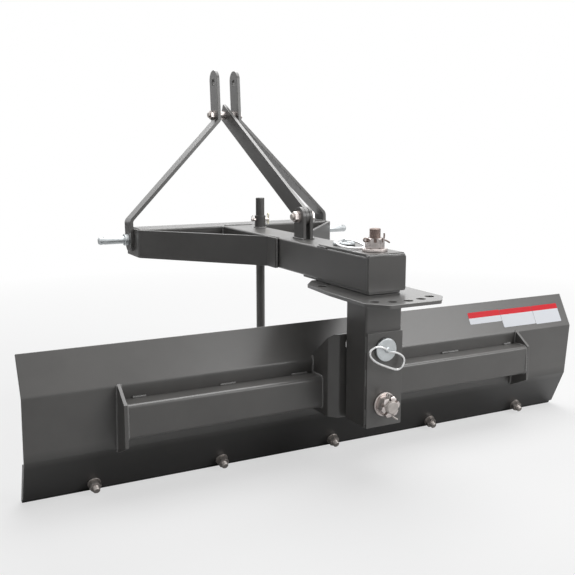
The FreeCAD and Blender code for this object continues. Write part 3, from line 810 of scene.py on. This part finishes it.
def weld_tree():
    tree = bpy.data.node_groups.new("weld_bead", "GeometryNodeTree")
    sockets(tree, "Beads", Seams="Geometry", Spacing="Float", Seed="Int", Paint="Material")
    link = tree.links.new
    start = tree.nodes.new("NodeGroupInput")
    end = tree.nodes.new("NodeGroupOutput")
    curve = tree.nodes.new("GeometryNodeMeshToCurve")
    points = tree.nodes.new("GeometryNodeCurveToPoints")
    points.mode = "LENGTH"
    size = tree.nodes.new("GeometryNodeInputNamedAttribute")
    size.data_type = "FLOAT"
    size.inputs["Name"].default_value = "bead"
    vary = tree.nodes.new("FunctionNodeRandomValue")
    vary.data_type = "FLOAT"
    smallest, largest = vary.inputs[2], vary.inputs[3]
    smallest.default_value, largest.default_value = 0.86, 1.16
    scale = tree.nodes.new("ShaderNodeMath")
    scale.operation = "MULTIPLY"
    ball = tree.nodes.new("GeometryNodeMeshIcoSphere")
    ball.inputs["Subdivisions"].default_value = 2
    squash = tree.nodes.new("GeometryNodeTransform")
    squash.inputs["Scale"].default_value = (1, 1, 0.6)
    smooth = tree.nodes.new("GeometryNodeSetShadeSmooth")
    put = tree.nodes.new("GeometryNodeInstanceOnPoints")
    core_size = tree.nodes.new("ShaderNodeMath")
    core_size.operation = "MULTIPLY"
    core_size.inputs[1].default_value = 0.84
    core = tree.nodes.new("GeometryNodeCurveToMesh")
    core.inputs["Fill Caps"].default_value = True
    round_wire = tree.nodes.new("GeometryNodeCurvePrimitiveCircle")
    round_wire.inputs["Resolution"].default_value = 8
    both = tree.nodes.new("GeometryNodeJoinGeometry")
    real = tree.nodes.new("GeometryNodeRealizeInstances")
    coat = tree.nodes.new("GeometryNodeSetMaterial")
    link(start.outputs["Seams"], curve.inputs["Mesh"])
    link(curve.outputs["Curve"], points.inputs["Curve"])
    link(start.outputs["Spacing"], points.inputs["Length"])
    link(start.outputs["Seed"], vary.inputs["Seed"])
    link(size.outputs["Attribute"], scale.inputs[0])
    link(vary.outputs[1], scale.inputs[1])
    link(ball.outputs["Mesh"], squash.inputs["Geometry"])
    link(squash.outputs["Geometry"], smooth.inputs["Geometry"])
    link(points.outputs["Points"], put.inputs["Points"])
    link(smooth.outputs["Geometry"], put.inputs["Instance"])
    link(points.outputs["Rotation"], put.inputs["Rotation"])
    link(scale.outputs[0], put.inputs["Scale"])
    link(size.outputs["Attribute"], core_size.inputs[0])
    link(curve.outputs["Curve"], core.inputs["Curve"])
    link(round_wire.outputs["Curve"], core.inputs["Profile Curve"])
    link(core_size.outputs[0], core.inputs["Scale"])
    link(put.outputs["Instances"], both.inputs[0])
    link(core.outputs["Mesh"], both.inputs[0])
    link(both.outputs[0], real.inputs[0])
    link(real.outputs[0], coat.inputs["Geometry"])
    link(start.outputs["Paint"], coat.inputs["Material"])
    link(coat.outputs[0], end.inputs["Beads"])
    return tree


def grown(name, body, slot, mesh, tree, **values):
    """Runs a tree over a mesh and keeps the result as one piece that rides on the body."""
    thing = bpy.data.objects.new(name, mesh)
    bpy.context.scene.collection.objects.link(thing)
    grow = thing.modifiers.new(tree.name, "NODES")
    grow.node_group = tree
    for socket in tree.interface.items_tree:
        if socket.name in values:
            grow[socket.identifier] = values[socket.name]
    bpy.context.view_layer.update()
    made = bpy.data.meshes.new_from_object(thing.evaluated_get(bpy.context.evaluated_depsgraph_get()))
    thing.modifiers.clear()
    thing.data = made
    bpy.data.meshes.remove(mesh)
    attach(thing, body)
    print(name, "has", len(made.polygons), "faces")


def seam_mesh(name, seams):
    """Lines in millimetres round the kingpin, each with its bead's half width."""
    corners, edges, sizes = [], [], []
    for size, line in seams:
        first = len(corners)
        corners += [at(*p) for p in line]
        sizes += [size / 1000] * len(line)
        edges += [(first + i, first + i + 1) for i in range(len(line) - 1)]
    mesh = bpy.data.meshes.new(name)
    mesh.from_pydata(corners, edges, [])
    bead = mesh.attributes.new("bead", "FLOAT", "POINT")
    bead.data.foreach_set("value", sizes)
    return mesh


bead_tree = weld_tree()
print("weld tree with", len(bead_tree.nodes), "nodes")

# %% [markdown]
# The seams follow the CAD boxes: each line runs where two plates meet. The bead on
# the boom's end is the rough one: it fills the step between the cap and the plate.

# %% Where the plates meet
boom_low, boom_high = box_of("boom")
cap_low, cap_high = box_of("boom_end_cap")
pad_low, pad_high = box_of("boom_top_plate")
post_low, post_high = box_of("post")
beam_low, beam_high = box_of("cross_beam")
lug_low, lug_high = box_of("lug_right")
doubler_high = box_of("post_doubler")[1]
stiff_low, stiff_high = box_of("stiffener_right")
gusset_low, gusset_high = box_of("gusset_right")
bracket_low, bracket_high = box_of("centre_bracket")
plate_low = box_of("side_plate_right")[0]
print("boom is", round(boom_high.x - boom_low.x, 1), "wide, beam", round(beam_high.x - beam_low.x, 1))

# %% Beads on the hitch frame
frame_seams = [
    (3.6, [(pad_low.x + 2, cap_low.y + 3, cap_high.z), (-20, cap_low.y + 2, cap_high.z + 1),
           (15, cap_low.y + 3.4, cap_high.z), (pad_high.x - 2, cap_low.y + 3, cap_high.z)]),
    (4.6, [(cap_low.x + 4, cap_low.y + 5, cap_high.z - 1), (cap_low.x + 3, cap_low.y + 10, cap_high.z)]),
    (3.2, [(pad_low.x + 2, pad_high.y + 1, pad_low.z + 1), (pad_high.x - 2, pad_high.y + 1, pad_low.z + 1)]),
]
for x in (cap_low.x + 0.4, cap_high.x - 0.4):
    frame_seams.append((1.1, [(x, cap_high.y, cap_high.z - 6), (x, cap_high.y, cap_low.z + 6)]))
for side in (-1, 1):
    pad_x = side * (pad_high.x + 0.5)
    lug_x = side * (lug_high.x + 1)
    boom_x = side * boom_high.x
    plate_x = side * (boom_high.x + 4)
    corner_x = side * (boom_high.x + 0.6)
    end_x = side * (beam_high.x - 1)
    beam_x = side * (beam_high.x - 0.6)
    frame_seams += [
        (3.0, [(pad_x, pad_high.y, pad_low.z), (pad_x, pad_high.y - 38, pad_low.z)]),
        (3.0, [(lug_x, lug_low.y, boom_high.z + 1), (lug_x, lug_high.y, boom_high.z + 1)]),
        (3.6, [(plate_x, plate_low.y - 0.5, boom_low.z + 3), (plate_x, plate_low.y - 0.5, boom_high.z - 3)]),
        (2.4, [(boom_x, plate_low.y + 2, boom_high.z - 0.6), (boom_x, plate_low.y + 48, boom_high.z - 0.6)]),
        (3.4, [(corner_x, beam_low.y - 0.8, boom_low.z + 4), (corner_x, beam_low.y - 0.8, boom_high.z - 4)]),
        (3.0, [(end_x, beam_low.y - 1, beam_low.z + 5), (end_x, beam_low.y - 1, beam_high.z - 5)]),
        (2.4, [(beam_x, beam_low.y + 6, beam_high.z - 0.4), (beam_x, beam_high.y - 6, beam_high.z - 0.4)]),
        (2.4, [(beam_x, beam_low.y + 6, beam_low.z + 0.4), (beam_x, beam_high.y - 6, beam_low.z + 0.4)]),
    ]
beam_top = [(x, beam_low.y - 0.6, boom_high.z) for x in (boom_low.x + 5, boom_high.x - 5)]
ring_r = sleeve_r + 0.8
sleeve_foot = [(stand.x + ring_r * math.cos(a), stand.y + ring_r * math.sin(a), boom_high.z + 0.6)
               for a in [i * math.pi / 12 for i in range(25)]]
frame_seams += [(3.0, beam_top), (2.8, sleeve_foot)]
grown("frame_welds", "hitch_frame", "paint", seam_mesh("frame_seams", frame_seams), bead_tree,
      Spacing=0.0026, Seed=11, Paint=charcoal_weld)

# %% Beads on the swing body
under = post_high.z - 1
left, right = post_low.x - 1, post_high.x + 1
rear, front = post_low.y - 1, post_high.y + 1
swing_seams = [
    (4.2, [(left, rear, under), (right, rear, under), (right, front, under), (left, front, under),
           (left, rear, under)]),
]
for side in (-1, 1):
    x, y = side * (doubler_high.x + 0.2), doubler_high.y - 1
    for low_z, high_z in ((136, 170), (226, 262), (304, 338)):
        swing_seams.append((1.8, [(x, y, low_z), (x, y, high_z)]))
grown("swing_welds", "swing", "paint", seam_mesh("swing_seams", swing_seams), bead_tree,
      Spacing=0.0028, Seed=12, Paint=charcoal_weld)

# %% Beads on the blade
# y and z of the moldboard's back face: lower edge, two creases, top
back_face = [(190.0, 0.0), (143.0, 107.0), (132.0, 250.0), (178.0, 334.0)]


def back_at(z):
    """The y of the moldboard's back at a height."""
    for (y0, z0), (y1, z1) in zip(back_face, back_face[1:]):
        if z <= z1:
            return y0 + (y1 - y0) * (z - z0) / (z1 - z0)


def up_the_back(x, low_z, high_z):
    heights = [low_z] + [z for _, z in back_face if low_z < z < high_z] + [high_z]
    return [(x, back_at(z) - 0.8, z) for z in heights]


blade_seams = []
top, rear, low = stiff_high.z, stiff_low.y, stiff_low.z
for side in (-1, 1):
    bracket_x = side * (bracket_high.x + 1)
    blade_seams += [(3.4, up_the_back(bracket_x, bracket_low.z + 3, 258))]
    for x in (side * (gusset_high.x + 0.6), side * (gusset_low.x - 0.6)):
        blade_seams.append((2.6, up_the_back(x, gusset_low.z + 3, gusset_high.z - 3)))
    for x in (bracket_x, side * (gusset_low.x - 0.8)):
        blade_seams.append((2.6, [(x, back_at(top) - 4, top + 0.4), (x, rear + 8, top + 0.4),
                                  (x, rear + 1, top - 5), (x, rear - 0.4, low + 8),
                                  (x, rear + 6, low - 0.4), (x, back_at(low) - 4, low - 0.4)]))
for x0, x1 in ((-529, -502), (-324, -289), (-140, -102), (306, 356), (518, 540)):
    blade_seams.append((3.6, [(x, back_at(top) - 1.4, top + 1) for x in (x0, x1)]))
grown("blade_welds", "blade", "paint", seam_mesh("blade_seams", blade_seams), bead_tree,
      Spacing=0.0028, Seed=13, Paint=charcoal_weld)

# %% [markdown]
# Five carriage bolts hold the cutting edge. One bolt is turned, with its domed head
# in front and its nut on the back, and a second tree sets it on five points, each
# nut turned by its own random angle.


# %% The tree for edge bolts
def bolt_tree():
    tree = bpy.data.node_groups.new("edge_bolts", "GeometryNodeTree")
    sockets(tree, "Bolts", Places="Geometry", Bolt="Object", Lean="Rotation", Seed="Int",
            Metal="Material")
    link = tree.links.new
    start = tree.nodes.new("NodeGroupInput")
    end = tree.nodes.new("NodeGroupOutput")
    points = tree.nodes.new("GeometryNodeMeshToPoints")
    model = tree.nodes.new("GeometryNodeObjectInfo")
    put = tree.nodes.new("GeometryNodeInstanceOnPoints")
    turn = tree.nodes.new("GeometryNodeRotateInstances")
    vary = tree.nodes.new("FunctionNodeRandomValue")
    vary.data_type = "FLOAT_VECTOR"
    least, most = vary.inputs[0], vary.inputs[1]
    least.default_value, most.default_value = (0, 0, 0), (0, 0, math.pi)
    real = tree.nodes.new("GeometryNodeRealizeInstances")
    coat = tree.nodes.new("GeometryNodeSetMaterial")
    link(start.outputs["Places"], points.inputs["Mesh"])
    link(start.outputs["Bolt"], model.inputs["Object"])
    link(points.outputs[0], put.inputs["Points"])
    link(model.outputs["Geometry"], put.inputs["Instance"])
    link(start.outputs["Lean"], put.inputs["Rotation"])
    link(start.outputs["Seed"], vary.inputs["Seed"])
    link(put.outputs[0], turn.inputs["Instances"])
    link(vary.outputs[0], turn.inputs["Rotation"])
    link(turn.outputs[0], real.inputs[0])
    link(real.outputs[0], coat.inputs["Geometry"])
    link(start.outputs["Metal"], coat.inputs["Material"])
    link(coat.outputs[0], end.inputs["Bolts"])
    return tree


# %% Edge bolts
EDGE_BOLT_D, EDGE_WASHER_T, EDGE_BOLT_Z = 15.8, 3, 23
bore_r = EDGE_BOLT_D / 2
shape = bmesh.new()
spin(shape, [(bore_r, 0), (14.6, 0), (15, 0.5), (15, 2.6), (14.6, EDGE_WASHER_T),
             (bore_r, EDGE_WASHER_T), (bore_r, 0)], 32)
hex_body(shape, 24, 13, EDGE_BOLT_D, base=EDGE_WASHER_T)
threaded(shape, EDGE_BOLT_D, 0, 26, 2.0, 1.4)
spin(shape, [(0, -23.2), (4, -22.9), (9, -21.6), (13, -19.8), (15.5, -18), (0, -18)], 32)
shape.transform(Matrix.Scale(0.001, 4))
bmesh.ops.recalc_face_normals(shape, faces=shape.faces)
bolt_mesh = bpy.data.meshes.new("edge_bolt")
shape.to_mesh(bolt_mesh)
shape.free()
for polygon in bolt_mesh.polygons:
    polygon.use_smooth = True
bolt_mesh.set_sharp_from_angle(angle=SHARP)
bolt_model = bpy.data.objects.new("edge_bolt", bolt_mesh)
bpy.context.scene.collection.objects.link(bolt_model)
places = bpy.data.meshes.new("edge_bolt_places")
bolt_xs = (-610, -305, 0, 305, 610)
places.from_pydata([at(x, back_at(EDGE_BOLT_Z), EDGE_BOLT_Z) for x in bolt_xs], [], [])
run = Vector((0, back_face[1][0] - back_face[0][0], back_face[1][1]))
lean = Vector((0, -run.z, run.y)).normalized().to_track_quat("Z", "Y").to_euler()
grown("edge_bolts", "blade", "zinc", places, bolt_tree(),
      Bolt=bolt_model, Lean=lean, Seed=5, Metal=dull_zinc)
bpy.data.objects.remove(bolt_model)

# %% [markdown]
# Three labels on the right of the top band stay blank: pale film with a red band at
# the top edge. They are thin plates with round corners, laid on the slope.


# %% Label film
def label_film():
    material, tree = new_material("label_film")
    link = tree.links.new
    out = tree.nodes.new("ShaderNodeOutputMaterial")
    shader = node(tree, "ShaderNodeBsdfPrincipled", Specular_IOR_Level=0.2)
    place = tree.nodes.new("ShaderNodeTexCoord")
    split = tree.nodes.new("ShaderNodeSeparateXYZ")
    bands = tree.nodes.new("ShaderNodeValToRGB")
    bands.color_ramp.interpolation = "CONSTANT"
    bands.color_ramp.elements[0].color = (0.76, 0.78, 0.82, 1)
    bands.color_ramp.elements[1].position = 0.5
    bands.color_ramp.elements[1].color = (0.70, 0.022, 0.034, 1)
    fade = node(tree, "ShaderNodeMapRange", From_Min=0.287, From_Max=0.307)
    wear = node(tree, "ShaderNodeTexNoise", Scale=40.0, Detail=3.0)
    rough = node(tree, "ShaderNodeMapRange", To_Min=0.3, To_Max=0.5)
    link(place.outputs["Object"], split.inputs[0])
    link(place.outputs["Object"], wear.inputs["Vector"])
    link(split.outputs["Z"], fade.inputs["Value"])
    link(fade.outputs["Result"], bands.inputs["Fac"])
    link(bands.outputs["Color"], shader.inputs["Base Color"])
    link(wear.outputs["Fac"], rough.inputs["Value"])
    link(rough.outputs["Result"], shader.inputs["Roughness"])
    link(shader.outputs[0], out.inputs["Surface"])
    return material


# %% Blank labels
labels = Piece("blank_labels", "blade", "paint", label_film())
crease_y, crease_z = back_face[2]
slope = Vector((0, back_face[3][0] - crease_y, back_face[3][1] - crease_z)).normalized()
outward = Vector((0, -slope.z, slope.y))
start = Vector((0, crease_y, crease_z))
CORNER_R = 3.0
for x0, x1, z0, z1 in ((412, 522, 282, 311), (523, 639, 265, 310), (640, 735, 263, 310)):
    shape = bmesh.new()
    left, right = x0 + CORNER_R, x1 - CORNER_R
    bottom = (z0 - crease_z) / slope.z + CORNER_R
    top = (z1 - crease_z) / slope.z - CORNER_R
    outline = []
    for cx, cy, first in ((right, top, 0), (left, top, 90), (left, bottom, 180), (right, bottom, 270)):
        for k in range(5):
            a = math.radians(first + 22.5 * k)
            outline.append((cx + CORNER_R * math.cos(a), cy + CORNER_R * math.sin(a)))
    rings = []
    for lift in (-0.2, 0.35):
        corners = [start + Vector((x, 0, 0)) + slope * up + outward * lift for x, up in outline]
        rings.append([shape.verts.new(at(*corner)) for corner in corners])
    shape.faces.new(rings[0])
    shape.faces.new(rings[1][::-1])
    for i in range(len(outline)):
        j = (i + 1) % len(outline)
        shape.faces.new([rings[0][i], rings[0][j], rings[1][j], rings[1][i]])
    labels.add(shape)
labels.finish()
